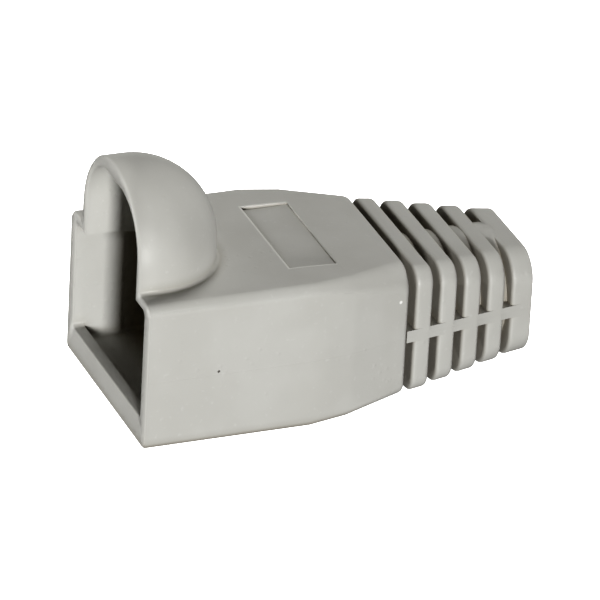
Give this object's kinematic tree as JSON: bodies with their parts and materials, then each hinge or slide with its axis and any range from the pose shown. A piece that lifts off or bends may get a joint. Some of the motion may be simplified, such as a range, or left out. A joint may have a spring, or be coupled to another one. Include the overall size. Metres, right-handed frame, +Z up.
{
  "type": "rj45 strain relief boot",
  "caption": "One-piece soft boot for a modular plug: square plug sleeve, open hood over the latch, and a ringed flexible tail with a round cable bore.",
  "frame": {"origin": "under the middle of the boot's overall length, on the flat underside that it lies on", "axes": "+X from the plug mouth to the cable end of the tail, +Y across, +Z up through the latch hood"},
  "size_m": [0.0256, 0.0136, 0.0155],
  "materials": {
    "boot": "soft light grey PVC, satin"
  },
  "bodies": {
    "root": {"boot": "boot"}
  },
  "joints": []
}
